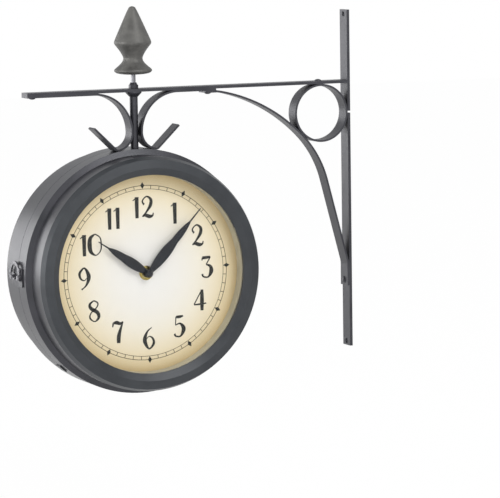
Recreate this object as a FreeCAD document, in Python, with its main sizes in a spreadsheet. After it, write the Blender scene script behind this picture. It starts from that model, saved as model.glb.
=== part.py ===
import FreeCAD, Part
import math
import os
import re
import Sketcher

# Double sided station clock on a wrought wall bracket. Millimetres.
# Frame: +X points into the wall and X = 0 is the wall face, +Z is up, Y = 0 is the middle of the
# flat bars. The clock dial faces -Y and the thermometer dial faces +Y.
# The origin is half way between the two wall screws.

SIZES = {
    # wall bracket
    "plate_length": 345.0,
    "plate_thickness": 3.0,
    "bar_width": 16.0,
    "screw_spacing": 336.0,
    "screw_hole": 5.3,
    "arm_level": 99.5,
    "arm_reach": 350.0,
    "arm_thickness": 3.0,
    "strip_thickness": 2.0,
    "ring_diameter": 59.0,
    "notch_height": 2.0,
    "rivet_head": 7.0,
    "rivet_rise": 1.8,
    "rivet_play": 0.05,
    # brace
    "brace_rivet": 155.0,
    "brace_bend": 11.0,
    "brace_bend_radius": 20.0,
    "brace_lower_radius": 105.0,
    "brace_lower_turn": 30.0,
    "brace_foot": 21.5,
    "brace_bolt": 16.0,
    # scrolls
    "scroll_lower_radius": 17.0,
    "scroll_lower_turn": 84.0,
    "scroll_fold_radius": 3.2,
    "scroll_fold_turn": 50.0,
    "scroll_tail": 31.0,
    "scroll_overlap": 6.0,
    # pole, rod and finial
    "pole_offset": 235.0,
    "dial_drop": 180.0,
    "pole_diameter": 8.0,
    "rod_diameter": 4.6,
    "rod_play": 0.1,
    "collar_height": 5.0,
    "collar_width": 16.0,
    "top_nut_height": 6.0,
    "top_nut_width": 8.4,
    "stem_length": 8.0,
    "rod_grip": 9.0,
    "finial_height": 67.5,
    "finial_base": 37.5,
    "finial_bulb": 37.0,
    "finial_neck": 19.6,
    "finial_tip": 8.2,
    # case halves, distances measured outward from the seam plane
    "band_radius": 122.0,
    "band_width": 20.0,
    "drum_radius": 116.5,
    "shell_wall": 1.0,
    "seam_gap": 0.5,
    "step_length": 3.0,
    "bezel_length": 55.0,
    "bezel_height": 8.0,
    "bezel_bevel": 4.5,
    "bezel_shoulder": 2.6,
    "bezel_ridge": 105.5,
    "bezel_opening": 98.5,
    "bezel_wall": 1.6,
    "bezel_skirt": 7.0,
    "fit_gap": 0.1,
    "glass_lap": 6.0,
    "glass_thickness": 2.0,
    "spacer_wall": 1.5,
    "dial_recess": 21.0,
    "dial_thickness": 0.6,
    "dial_hole": 4.2,
    "dial_tab_width": 14.0,
    "dial_tab_depth": 6.0,
    "tie_nut_width": 9.0,
    "tie_nut_height": 4.0,
    "tie_washer_diameter": 12.0,
    "tie_washer_thickness": 1.0,
    # hinge on the wall side, latch and locating tab on the other
    "hinge_height": 30.0,
    "hinge_leaf_width": 13.0,
    "hinge_leaf_thickness": 1.4,
    "hinge_pin_radius": 1.2,
    "hinge_barrel_radius": 2.6,
    "hinge_standoff": 3.4,
    "hinge_play": 0.06,
    "knuckle_gap": 0.3,
    "latch_plate_width": 11.0,
    "latch_plate_height": 18.0,
    "latch_plate_thickness": 1.0,
    "latch_pivot": 8.0,
    "latch_reach": 19.0,
    "latch_pin_radius": 1.6,
    "latch_head_radius": 2.9,
    "latch_head_height": 1.2,
    "latch_boss_radius": 3.6,
    "latch_hook_thickness": 1.6,
    "latch_hook_width": 3.2,
    "latch_hook_tip": 1.5,
    "latch_knob_radius": 1.9,
    "latch_lift": 15.0,
    "latch_play": 0.3,
    "tab_width": 9.0,
    "tab_length": 12.0,
    "tab_thickness": 1.2,
    "tab_angle": 40.0,
    # clock movement
    "movement_side": 56.0,
    "movement_depth": 16.0,
    "movement_wall": 1.2,
    "gasket_thickness": 0.5,
    "battery_diameter": 14.2,
    "battery_length": 49.0,
    "battery_nub": 1.3,
    "bush_radius": 4.0,
    "bush_length": 4.6,
    "brass_washer_radius": 7.2,
    "brass_washer_thickness": 0.6,
    "brass_nut_width": 11.0,
    "brass_nut_height": 2.2,
    "tube_radius": 2.5,
    "arbor_radius": 1.6,
    "running_play": 0.08,
    "arbor_pivot": 0.8,
    "knob_offset": 17.9,
    "knob_stem": 4.0,
    "knob_radius": 6.0,
    "knob_height": 3.2,
    # hands, seen from the front, clockwise from twelve
    "hand_thickness": 0.8,
    "minute_angle": 42.7,
    "hour_angle": 303.558,
    "minute_length": 84.0,
    "minute_width": 7.0,
    "hour_length": 62.0,
    "hour_width": 7.6,
    "hand_hub_radius": 4.2,
    "hand_gap": 1.4,
    "cap_radius": 3.8,
    # thermometer
    "cup_radius": 27.0,
    "cup_depth": 12.0,
    "cup_wall": 1.2,
    "coil_width": 4.0,
    "coil_strip": 0.6,
    "coil_pitch": 4.0,
    "coil_hub_radius": 3.0,
    "coil_hub_height": 6.0,
    "pointer_angle": 72.0,
    "pointer_length": 70.0,
    "pointer_tail": 22.0,
    "pointer_width": 2.4,
    "pointer_shaft_radius": 0.9,
    "pointer_bush_flange": 1.0,
    "pointer_hub_radius": 4.0,
}

# Places worked out from the sizes.
DIAL_LEVEL = "(arm_level - dial_drop)"
ARM_UNDER = "(dial_drop - arm_thickness / 2)"
ARM_TOP = "(dial_drop + arm_thickness / 2)"
SCROLL_LINE = f"({ARM_UNDER} - strip_thickness / 2)"
BRACE_LINE = f"({ARM_UNDER} - 3 * strip_thickness / 2)"
SEAM = "(band_width / 2)"
DIAL_FACE = "(bezel_length - dial_recess)"
DIAL_BACK = f"({DIAL_FACE} - dial_thickness)"
BEZEL_LIP = "(bezel_length - bezel_bevel)"
BEZEL_UNDER = f"({BEZEL_LIP} - bezel_wall)"
GLASS_BACK = f"({BEZEL_UNDER} - glass_thickness - fit_gap)"
GLASS_RADIUS = "(bezel_opening + glass_lap)"
DRUM_LENGTH = "(bezel_length - bezel_height)"
INSIDE_RADIUS = "(drum_radius - shell_wall - fit_gap)"

doc = FreeCAD.newDocument("station_clock")
sheet = doc.addObject("Spreadsheet::Sheet", "Sizes")
for row, (size_name, size_value) in enumerate(SIZES.items(), start=1):
    sheet.set(f"A{row}", size_name)
    sheet.set(f"B{row}", str(size_value))
    sheet.setAlias(f"B{row}", size_name)
doc.recompute()

pieces = []


def linked(text):
    """Point each size name in an expression at the sheet."""
    return re.sub(r"[a-z][a-z_]*", lambda word: on_sheet(word.group()), text)


def on_sheet(word):
    return "Sizes." + word if word in SIZES else word


def number(text):
    """Present value of an expression."""
    value = sheet.evalExpression(linked(text))
    return float(getattr(value, "Value", value))


def bind(item, prop, text):
    item.setExpression(prop, linked(text))


def new_body(label, x="-pole_offset", y="0", z=DIAL_LEVEL, turn=None, about=(0, 1, 0)):
    """Body placed on the dial axis unless told otherwise, turned about +Y or another axis."""
    body = doc.addObject("PartDesign::Body", label)
    body.Label = label
    if turn is not None:
        body.Placement.Rotation = FreeCAD.Rotation(FreeCAD.Vector(*about), 1)
        bind(body, "Placement.Rotation.Angle", turn)
    bind(body, "Placement.Base.x", x)
    bind(body, "Placement.Base.y", y)
    bind(body, "Placement.Base.z", z)
    pieces.append(body)
    return body


def new_sketch(body, role, offset="0"):
    """Sketch on one of the body's origin planes, moved along its normal."""
    sketch = body.newObject("Sketcher::SketchObject", body.Name + "_sketch")
    plane = next(item for item in body.Origin.OriginFeatures if item.Role == role)
    sketch.AttachmentSupport = [(plane, "")]
    sketch.MapMode = "FlatFace"
    bind(sketch, "AttachmentOffset.Base.z", offset)
    return sketch


def fix(sketch, kind, members, text):
    """Add a dimension and bind it to an expression."""
    index = sketch.addConstraint(Sketcher.Constraint(kind, *members, number(text)))
    bind(sketch, f"Constraints[{index}]", text)


def fix_point(sketch, geometry, end, x, y):
    fix(sketch, "DistanceX", (-1, 1, geometry, end), x)
    fix(sketch, "DistanceY", (-1, 1, geometry, end), y)


def arc_between(start, end, radius, side):
    """Arc from start to end; side 1 turns left along the way, side -1 turns right."""
    chord = end - start
    middle = (start + end) * 0.5
    reach = math.sqrt(max(radius ** 2 - (chord.Length / 2) ** 2, 0))
    normal = FreeCAD.Vector(-chord.y, chord.x, 0).normalize()
    centre = middle + normal * reach * side
    first, last = (start, end) if side > 0 else (end, start)
    begin = math.atan2(first.y - centre.y, first.x - centre.x)
    finish = math.atan2(last.y - centre.y, last.x - centre.x)
    if finish <= begin:
        finish += 2 * math.pi
    return Part.ArcOfCircle(Part.Circle(centre, FreeCAD.Vector(0, 0, 1), radius), begin, finish)


def outline(sketch, corners):
    """Closed outline. A corner (x, y) ends a line, a corner (x, y, radius, side) ends an arc."""
    points = [FreeCAD.Vector(number(corner[0]), number(corner[1]), 0) for corner in corners]
    ends = []
    for index, corner in enumerate(corners):
        start, end = points[index - 1], points[index]
        if len(corner) == 2:
            geometry = sketch.addGeometry(Part.LineSegment(start, end), False)
            ends.append((geometry, 1, 2))
        else:
            radius, side = corner[2], corner[3]
            geometry = sketch.addGeometry(arc_between(start, end, number(radius), side), False)
            ends.append((geometry, 1, 2) if side > 0 else (geometry, 2, 1))
            fix(sketch, "Radius", (geometry,), radius)
    for index, corner in enumerate(corners):
        last_geometry, _, last_end = ends[index]
        next_geometry, next_start, _ = ends[(index + 1) % len(ends)]
        sketch.addConstraint(
            Sketcher.Constraint("Coincident", last_geometry, last_end, next_geometry, next_start)
        )
        fix_point(sketch, last_geometry, last_end, corner[0], corner[1])


def circle(sketch, x, y, radius):
    centre = FreeCAD.Vector(number(x), number(y), 0)
    shape = Part.Circle(centre, FreeCAD.Vector(0, 0, 1), number(radius))
    geometry = sketch.addGeometry(shape, False)
    fix_point(sketch, geometry, 3, x, y)
    fix(sketch, "Radius", (geometry,), radius)


def box_corners(x, y, width, height):
    """Corners of a rectangle centred on (x, y)."""
    return [
        (f"{x} - {width} / 2", f"{y} - {height} / 2"),
        (f"{x} + {width} / 2", f"{y} - {height} / 2"),
        (f"{x} + {width} / 2", f"{y} + {height} / 2"),
        (f"{x} - {width} / 2", f"{y} + {height} / 2"),
    ]


def hexagon_corners(x, y, width):
    """Corners of a hexagon given across its flats."""
    corners = []
    for step in range(6):
        angle = 60 * step + 30
        corners.append((f"{x} + {width} / sqrt(3) * cos({angle})", f"{y} + {width} / sqrt(3) * sin({angle})"))
    return corners


def pad(body, sketch, length):
    feature = body.newObject("PartDesign::Pad", body.Name + "_pad")
    feature.Profile = sketch
    bind(feature, "Length", length)
    return feature


def pocket(body, sketch, length, forward=False):
    """Cut against the sketch normal, or along it with forward."""
    feature = body.newObject("PartDesign::Pocket", body.Name + "_pocket")
    feature.Profile = sketch
    feature.Reversed = forward
    bind(feature, "Length", length)
    return feature


def revolve(body, corners, role="XY_Plane", axis="V_Axis"):
    """Turn an outline about the sketch's vertical axis, or about H_Axis."""
    sketch = new_sketch(body, role)
    outline(sketch, corners)
    feature = body.newObject("PartDesign::Revolution", body.Name + "_turned")
    feature.Profile = sketch
    feature.ReferenceAxis = (sketch, [axis])
    feature.Angle = 360
    return feature


def extrude_across(body, corners, back, depth, holes=()):
    """Pad an XZ outline from Y = back towards -Y."""
    sketch = new_sketch(body, "XZ_Plane", f"-({back})")
    outline(sketch, corners)
    for hole in holes:
        circle(sketch, *hole)
    return pad(body, sketch, depth)


def out(distance, side):
    """Y of a place at a distance from the seam plane; side -1 is the clock, 1 the thermometer."""
    return f"({SEAM} + ({side}) * ({distance}))"


# ---------------------------------------------------------------- flat bar bracket


def wall_plate():
    """Upright flat bar: a screw hole near each end, a notch for the arm and one at the ring."""
    body = new_body("wall_plate", "-plate_thickness", "0", "0")
    sketch = new_sketch(body, "YZ_Plane")
    front = "-bar_width / 2"
    back = "bar_width / 2"
    end = "plate_length / 2"
    corners = [(front, f"-{end}"), (back, f"-{end}"), (back, end), (front, end)]
    for level, height in (("arm_level", "(arm_thickness + 2 * fit_gap)"), (RING_Z, "notch_height")):
        corners += [
            (front, f"{level} + {height} / 2"),
            ("0", f"{level} + {height} / 2"),
            ("0", f"{level} - {height} / 2"),
            (front, f"{level} - {height} / 2"),
        ]
    outline(sketch, corners)
    circle(sketch, "0", "screw_spacing / 2", "screw_hole / 2")
    circle(sketch, "0", "-screw_spacing / 2", "screw_hole / 2")
    pad(body, sketch, "plate_thickness")


def arm_bar():
    """Level flat bar; half its width is let into the notch of the wall plate."""
    body = new_body("arm_bar", "0", "0", "arm_level")
    sketch = new_sketch(body, "XY_Plane", "-arm_thickness / 2")
    shoulder = "-plate_thickness - fit_gap"
    outline(
        sketch,
        [
            ("-arm_reach", "-bar_width / 2"),
            ("0", "-bar_width / 2"),
            ("0", "-fit_gap"),
            (shoulder, "-fit_gap"),
            (shoulder, "bar_width / 2"),
            ("-arm_reach", "bar_width / 2"),
        ],
    )
    circle(sketch, "-pole_offset", "0", "rod_diameter / 2 + rod_play")
    pad(body, sketch, "arm_thickness")


RING_X = "(-plate_thickness - ring_diameter / 2)"
RING_Z = "(arm_level - arm_thickness / 2 - ring_diameter / 2)"
LEFT_RIVET_X = "(-arm_reach + 8)"


def corner_ring():
    """Ring of flat strip in the corner of arm and wall plate, tangent to both."""
    body = new_body("corner_ring", RING_X, "0", RING_Z)
    sketch = new_sketch(body, "XZ_Plane", "-bar_width / 2")
    circle(sketch, "0", "0", "ring_diameter / 2")
    circle(sketch, "0", "0", "ring_diameter / 2 - strip_thickness")
    pad(body, sketch, "bar_width")


def bent_strip(body, start, heading, steps):
    """Flat strip swept along tangent lines and arcs in the XZ plane, starting level.

    A step is ("line", length) or ("arc", radius, angle); heading is 1 towards +X and -1 towards
    -X, and every arc turns downwards from the start, clockwise for heading 1.
    """
    path = new_sketch(body, "XZ_Plane")
    place = FreeCAD.Vector(number(start[0]), number(start[1]), 0)
    angle = 0.0 if heading > 0 else math.pi
    last = None
    for step in steps:
        if step[0] == "line":
            ahead = FreeCAD.Vector(math.cos(angle), math.sin(angle), 0)
            goal = place + ahead * number(step[1])
            geometry = path.addGeometry(Part.LineSegment(place, goal), False)
            ends = (geometry, 1, 2)
            fix(path, "Distance", (geometry,), step[1])
        else:
            radius = number(step[1])
            turn = math.radians(number(step[2]))
            normal = FreeCAD.Vector(math.sin(angle), -math.cos(angle), 0) * heading
            centre = place + normal * radius
            first = math.atan2(place.y - centre.y, place.x - centre.x)
            span = (first - turn, first) if heading > 0 else (first, first + turn)
            shape = Part.ArcOfCircle(Part.Circle(centre, FreeCAD.Vector(0, 0, 1), radius), *span)
            geometry = path.addGeometry(shape, False)
            ends = (geometry, 2, 1) if heading > 0 else (geometry, 1, 2)
            fix(path, "Radius", (geometry,), step[1])
            index = path.addConstraint(Sketcher.Constraint("Angle", geometry, turn))
            bind(path, f"Constraints[{index}]", f"({step[2]}) * 1 deg")
            last_angle = first - turn if heading > 0 else first + turn
            goal = centre + FreeCAD.Vector(math.cos(last_angle), math.sin(last_angle), 0) * radius
            angle -= turn * heading
        if last is None:
            fix_point(path, ends[0], ends[1], start[0], start[1])
            path.addConstraint(Sketcher.Constraint("Horizontal", ends[0]))
        else:
            path.addConstraint(Sketcher.Constraint("Tangent", last[0], last[2], ends[0], ends[1]))
        last = ends
        place = goal
    section = new_sketch(body, "YZ_Plane", start[0])
    outline(section, box_corners("0", start[1], "bar_width", "strip_thickness"))
    sweep = body.newObject("PartDesign::AdditivePipe", body.Name + "_sweep")
    sweep.Profile = section
    sweep.Spine = (path, [])
    return sweep


# The brace touches the ring at 45 degrees, then steepens and runs down to the wall plate.
BRACE_TOUCH_X = f"({RING_X} - (ring_diameter / 2 + strip_thickness / 2 + fit_gap) * cos(45))"
BRACE_TOUCH_Z = f"({RING_Z} - (ring_diameter / 2 + strip_thickness / 2 + fit_gap) * sin(45))"
BRACE_TOP_Z = f"({BRACE_LINE} + {DIAL_LEVEL})"
BRACE_UPPER_RADIUS = (
    f"(({BRACE_TOP_Z} - {BRACE_TOUCH_Z} - brace_bend_radius * (1 - cos(brace_bend)))"
    " / (cos(brace_bend) - cos(45)))"
)
BRACE_FLAT_END = (
    f"({BRACE_TOUCH_X} - {BRACE_UPPER_RADIUS} * (sin(45) - sin(brace_bend))"
    " - brace_bend_radius * sin(brace_bend))"
)
BRACE_START = "(-brace_rivet - scroll_overlap)"
BRACE_STEEP = "(45 + brace_lower_turn)"
BRACE_FOOT_X = "(-plate_thickness - strip_thickness / 2)"
BRACE_LOWER_X = f"({BRACE_TOUCH_X} + brace_lower_radius * (sin({BRACE_STEEP}) - sin(45)))"
BRACE_LOWER_Z = f"({BRACE_TOUCH_Z} - brace_lower_radius * (cos(45) - cos({BRACE_STEEP})))"
BRACE_RUN = (
    f"(({BRACE_FOOT_X} - {BRACE_LOWER_X} - brace_bend_radius * (1 - sin({BRACE_STEEP})))"
    f" / cos({BRACE_STEEP}))"
)
BRACE_FOOT_TOP = (
    f"({BRACE_LOWER_Z} - {BRACE_RUN} * sin({BRACE_STEEP}) - brace_bend_radius * cos({BRACE_STEEP}))"
)


def brace_bar():
    """Bent strip from under the arm, past the ring, to a bolted foot on the wall plate."""
    body = new_body("brace_bar", "0", "0", "0")
    steps = [
        ("line", f"({BRACE_FLAT_END} - {BRACE_START})"),
        ("arc", "brace_bend_radius", "brace_bend"),
        ("arc", BRACE_UPPER_RADIUS, "(45 - brace_bend)"),
        ("arc", "brace_lower_radius", "brace_lower_turn"),
        ("line", BRACE_RUN),
        ("arc", "brace_bend_radius", f"(90 - {BRACE_STEEP})"),
        ("line", "brace_foot"),
    ]
    bent_strip(body, (BRACE_START, BRACE_TOP_Z), 1, steps)


# Each scroll runs level under the arm, round a large arc past the pole and round a small one that
# rests on the case, then folds back into a straight tail.
SCROLL_SIDE_X = "(pole_diameter / 2 + strip_thickness / 2 + fit_gap)"
SCROLL_LOWER_X = f"({SCROLL_SIDE_X} + scroll_lower_radius)"
SCROLL_LOWER_Z = (
    "sqrt(pow(band_radius + fit_gap + scroll_lower_radius + strip_thickness / 2; 2)"
    f" - pow({SCROLL_LOWER_X}; 2))"
)
SCROLL_UPPER_RADIUS = f"({SCROLL_LINE} - {SCROLL_LOWER_Z})"
SCROLL_FLAT_END = f"({SCROLL_SIDE_X} + {SCROLL_UPPER_RADIUS})"


def scroll(label, side, start):
    """Scroll on one side of the pole; side -1 is away from the wall."""
    body = new_body(label)
    steps = [
        ("line", f"({start} - {SCROLL_FLAT_END})"),
        ("arc", SCROLL_UPPER_RADIUS, "90"),
        ("arc", "scroll_lower_radius", "scroll_lower_turn"),
        ("arc", "scroll_fold_radius", "scroll_fold_turn"),
        ("line", "scroll_tail"),
    ]
    bent_strip(body, (f"({side}) * ({start})", SCROLL_LINE), -side, steps)


def rivet_heads():
    """Heads of the rivets through arm, strips and wall plate, as one group."""
    group = doc.addObject("Part::Compound", "rivet_heads")
    group.Label = "rivet_heads"
    heads = []
    for x, z, turn in (
        (LEFT_RIVET_X, f"({SCROLL_LINE} - strip_thickness / 2) + {DIAL_LEVEL}", 180),
        ("-brace_rivet", f"({BRACE_TOP_Z} - strip_thickness / 2)", 180),
        (RING_X, "(arm_level + arm_thickness / 2)", 0),
        (f"({BRACE_FOOT_X} - strip_thickness / 2)", f"({BRACE_FOOT_TOP} - brace_bolt)", -90),
    ):
        head = doc.addObject("Part::Cone", "rivet_head")
        head.Placement.Rotation = FreeCAD.Rotation(FreeCAD.Vector(0, 1, 0), turn)
        bind(head, "Radius1", "rivet_head / 2")
        bind(head, "Radius2", "rivet_head / 4")
        bind(head, "Height", "rivet_rise")
        bind(head, "Placement.Base.x", x)
        bind(head, "Placement.Base.z", z)
        heads.append(head)
    group.Links = heads
    pieces.append(group)


# ---------------------------------------------------------------- pole and finial

ROD_HOLE = "(rod_diameter / 2 + rod_play)"
COLLAR_UNDER = f"({ARM_UNDER} - collar_height)"
NUT_TOP = f"({ARM_TOP} + top_nut_height)"
FINIAL_BASE = f"({NUT_TOP} + stem_length)"
WASHER_TOP = "sqrt(pow(band_radius - shell_wall; 2) - pow(tie_washer_diameter / 2; 2))"
WASHER_UNDER = f"({WASHER_TOP} - tie_washer_thickness)"
NUT_UNDER = f"({WASHER_UNDER} - tie_nut_height)"
ROD_BOTTOM = f"({NUT_UNDER} - 2)"


def hanger_pole():
    """Tube between the case and the collar."""
    body = new_body("hanger_pole")
    sketch = new_sketch(body, "XY_Plane", "band_radius")
    circle(sketch, "0", "0", "pole_diameter / 2")
    circle(sketch, "0", "0", ROD_HOLE)
    pad(body, sketch, f"{COLLAR_UNDER} - band_radius")


def pole_collar():
    """Cone that spreads the pole under the arm."""
    body = new_body("pole_collar")
    profile = [
        (ROD_HOLE, COLLAR_UNDER),
        ("pole_diameter / 2 + 0.4", COLLAR_UNDER),
        ("collar_width / 2", f"{ARM_UNDER} - collar_height / 4"),
        ("collar_width / 2", ARM_UNDER),
        (ROD_HOLE, ARM_UNDER),
    ]
    revolve(body, profile, "XZ_Plane")


def top_nut():
    """Hexagon nut with a cone on top, over the arm."""
    body = new_body("top_nut")
    hexagon = new_sketch(body, "XY_Plane", ARM_TOP)
    outline(hexagon, hexagon_corners("0", "0", "top_nut_width"))
    circle(hexagon, "0", "0", ROD_HOLE)
    pad(body, hexagon, "top_nut_height * 0.6")
    cone = [
        (ROD_HOLE, f"{ARM_TOP} + top_nut_height / 2"),
        ("top_nut_width / 2", f"{ARM_TOP} + top_nut_height / 2"),
        ("top_nut_width / 2", f"{ARM_TOP} + top_nut_height * 0.6"),
        ("rod_diameter / 2 + 0.8", NUT_TOP),
        (ROD_HOLE, NUT_TOP),
    ]
    revolve(body, cone, "XZ_Plane")


def tie_rod():
    """Rod from the nut inside the case up through pole and arm into the finial."""
    body = new_body("tie_rod")
    sketch = new_sketch(body, "XY_Plane", ROD_BOTTOM)
    circle(sketch, "0", "0", "rod_diameter / 2")
    pad(body, sketch, f"{FINIAL_BASE} + rod_grip - {ROD_BOTTOM}")


def tie_nut():
    """Hexagon nut under the washer inside the case."""
    body = new_body("tie_nut")
    sketch = new_sketch(body, "XY_Plane", NUT_UNDER)
    outline(sketch, hexagon_corners("0", "0", "tie_nut_width"))
    circle(sketch, "0", "0", ROD_HOLE)
    pad(body, sketch, "tie_nut_height")


def tie_washer():
    """Flat washer whose edge bears on the inside of the band."""
    body = new_body("tie_washer")
    sketch = new_sketch(body, "XY_Plane", WASHER_UNDER)
    circle(sketch, "0", "0", "tie_washer_diameter / 2")
    circle(sketch, "0", "0", ROD_HOLE)
    pad(body, sketch, "tie_washer_thickness")


def finial():
    """Turned spear finial: round foot, neck, shoulder and long cone."""
    body = new_body("finial", "-pole_offset", "0", f"{DIAL_LEVEL} + {FINIAL_BASE}")
    profile = [
        ("0", "rod_grip + fit_gap"),
        (ROD_HOLE, "rod_grip + fit_gap"),
        (ROD_HOLE, "0"),
        ("finial_base / 2", "0"),
        ("finial_base / 2", "finial_height * 0.08"),
        ("finial_neck / 2", "finial_height * 0.21"),
        ("finial_neck / 2", "finial_height * 0.25"),
        ("finial_bulb / 2", "finial_height * 0.45"),
        ("finial_bulb / 2", "finial_height * 0.49"),
        ("finial_tip / 2", "finial_height * 0.965"),
        ("finial_tip / 4", "finial_height"),
        ("0", "finial_height"),
    ]
    revolve(body, profile, "XZ_Plane")


# ---------------------------------------------------------------- case halves


def half_profile(side, corners):
    """Corners given as (radius, distance from the seam) for one half of the case."""
    placed = []
    for corner in corners:
        place = (corner[0], out(corner[1], side))
        placed.append(place if len(corner) == 2 else place + (corner[2], corner[3] * side))
    return placed


def case_shell(label, side):
    """Spun drum half: wide band at the seam, stepped in to the drum."""
    body = new_body(label)
    profile = [
        ("band_radius - shell_wall", "seam_gap / 2"),
        ("band_radius", "seam_gap / 2"),
        ("band_radius", "band_width"),
        ("drum_radius", "band_width + step_length"),
        ("drum_radius", DRUM_LENGTH),
        ("drum_radius - shell_wall", DRUM_LENGTH),
        ("drum_radius - shell_wall", "band_width + step_length - shell_wall"),
        ("band_radius - shell_wall", "band_width - shell_wall"),
    ]
    revolve(body, half_profile(side, profile))
    if side < 0:
        hole = new_sketch(body, "XY_Plane", "band_radius + 1")
        circle(hole, "0", "0", ROD_HOLE)
        pocket(body, hole, "2 * shell_wall + 2")


def dial_tabs(label, side):
    """Four flat tabs inside the drum that the dial rests on, as one group."""
    group = doc.addObject("Part::Compound", label)
    group.Label = label
    half = "(dial_tab_width / 2)"
    low = f"(sqrt(pow({INSIDE_RADIUS}; 2) - pow({half}; 2)) - dial_tab_depth)"
    tabs = []
    for turn in (0, 90, 180, 270):
        tab = doc.addObject("Part::Box", label + "_tab")
        tab.Placement.Rotation = FreeCAD.Rotation(FreeCAD.Vector(0, 1, 0), turn)
        bind(tab, "Length", "dial_tab_width")
        bind(tab, "Width", "shell_wall")
        bind(tab, "Height", "dial_tab_depth")
        bind(tab, "Placement.Base.x", f"{low} * sin({turn}) - {half} * cos({turn})")
        bind(tab, "Placement.Base.z", f"{low} * cos({turn}) + {half} * sin({turn})")
        tabs.append(tab)
    group.Links = tabs
    rest = f"({DIAL_BACK} - fit_gap)" if side < 0 else f"({DIAL_BACK} - fit_gap - shell_wall)"
    bind(group, "Placement.Base.x", "-pole_offset")
    bind(group, "Placement.Base.y", out(rest, side))
    bind(group, "Placement.Base.z", DIAL_LEVEL)
    pieces.append(group)


def bezel(label, side):
    """Ring that closes the drum: skirt, sloped outer edge, ridge and bevelled opening."""
    body = new_body(label)
    skirt_end = f"({DRUM_LENGTH} - bezel_skirt)"
    seat = f"({DRUM_LENGTH} + fit_gap)"
    skirt_bore = f"({INSIDE_RADIUS} - bezel_wall)"
    profile = [
        (INSIDE_RADIUS, skirt_end),
        (INSIDE_RADIUS, seat),
        ("drum_radius", seat),
        ("drum_radius - bezel_shoulder", "bezel_length - bezel_wall"),
        ("bezel_ridge", "bezel_length"),
        ("bezel_opening", BEZEL_LIP),
        ("bezel_opening", BEZEL_UNDER),
        (skirt_bore, BEZEL_UNDER),
        (skirt_bore, skirt_end),
    ]
    revolve(body, half_profile(side, profile))


def round_plate(label, side, radius, back, thickness, hole=None):
    """Flat disc across the dial axis."""
    body = new_body(label)
    near = out(back, side) if side < 0 else out(f"{back} + {thickness}", side)
    sketch = new_sketch(body, "XZ_Plane", f"-{near}")
    circle(sketch, "0", "0", radius)
    if hole is not None:
        circle(sketch, "0", "0", hole)
    pad(body, sketch, thickness)
    return body


def spacer_ring(label, side):
    """Ring between dial and glass."""
    body = new_body(label)
    bore = "(bezel_opening + fit_gap)"
    profile = [
        (bore, DIAL_FACE),
        (f"{bore} + spacer_wall", DIAL_FACE),
        (f"{bore} + spacer_wall", f"{GLASS_BACK} - fit_gap"),
        (bore, f"{GLASS_BACK} - fit_gap"),
    ]
    revolve(body, half_profile(side, profile))


# ---------------------------------------------------------------- hinge, latch and tab

BARREL_X = "(band_radius + hinge_standoff)"
KNUCKLE = "(hinge_height / 3)"


def hinge_leaf(label, side, knuckles):
    """Leaf on one half with its knuckles round the upright pin; a knuckle is its lower end."""
    body = new_body(label)
    face = "(band_radius + hinge_leaf_thickness)"
    start = "(hinge_barrel_radius + knuckle_gap + 0.2)"
    half = "(hinge_height / 2)"
    inner_x = f"sqrt(pow(band_radius + fit_gap; 2) - pow({half}; 2))"
    back = out(f"{start} + hinge_leaf_width", 1) if side > 0 else out(start, -1)
    corners = [
        (face, f"-{half}"),
        (face, half),
        (inner_x, half),
        ("band_radius + fit_gap", "0", "band_radius + fit_gap", -1),
        (inner_x, f"-{half}", "band_radius + fit_gap", -1),
    ]
    extrude_across(body, corners, back, "hinge_leaf_width")
    reach = f"sqrt(pow(hinge_barrel_radius; 2) - pow({BARREL_X} - {face}; 2))"
    web = "(band_radius + fit_gap)"
    knuckle = [
        (web, "0"),
        (web, f"{start} + 1"),
        (face, f"{start} + 1"),
        (face, reach),
        (BARREL_X, "hinge_barrel_radius", "hinge_barrel_radius", -1),
        (f"{BARREL_X} + hinge_barrel_radius", "0", "hinge_barrel_radius", -1),
        (BARREL_X, "-hinge_barrel_radius", "hinge_barrel_radius", -1),
        (f"{BARREL_X} - hinge_barrel_radius", "0", "hinge_barrel_radius", -1),
    ]
    for low in knuckles:
        sketch = new_sketch(body, "XY_Plane", f"{low} + knuckle_gap / 2")
        outline(sketch, half_profile(side, knuckle))
        circle(sketch, BARREL_X, SEAM, "hinge_pin_radius + hinge_play")
        pad(body, sketch, f"{KNUCKLE} - knuckle_gap")


def hinge_pin():
    """Plain pin down the barrel."""
    body = new_body("hinge_pin", f"{BARREL_X} - pole_offset", SEAM)
    sketch = new_sketch(body, "XY_Plane", "-hinge_height / 2 - hinge_pin_radius")
    circle(sketch, "0", "0", "hinge_pin_radius")
    pad(body, sketch, "hinge_height + 2 * hinge_pin_radius")


LATCH_Y = f"({SEAM} - latch_pivot)"
LATCH_FOOT = "(band_radius + fit_gap + latch_plate_thickness)"
HOOK_BACK = f"({LATCH_FOOT} + latch_play)"
HOOK_FRONT = f"({HOOK_BACK} + latch_hook_thickness)"


def latch_plate():
    """Plate on the clock half that carries the latch pivot."""
    body = new_body("latch_plate")
    sketch = new_sketch(body, "YZ_Plane", f"-{LATCH_FOOT}")
    outline(sketch, box_corners(LATCH_Y, "0", "latch_plate_width", "latch_plate_height"))
    circle(sketch, LATCH_Y, "0", "latch_pin_radius + rivet_play")
    pad(body, sketch, "latch_plate_thickness")


def latch_pin():
    """Headed pivot of the hook."""
    body = new_body("latch_pin", "-pole_offset", LATCH_Y)
    head = f"({HOOK_FRONT} + latch_play)"
    profile = [
        ("-band_radius - fit_gap", "0"),
        ("-band_radius - fit_gap", "latch_pin_radius"),
        (f"-{head}", "latch_pin_radius"),
        (f"-{head}", "latch_head_radius"),
        (f"-{head} - latch_head_height", "latch_head_radius - 0.6"),
        (f"-{head} - latch_head_height", "0"),
    ]
    revolve(body, profile, "XY_Plane", "H_Axis")


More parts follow.
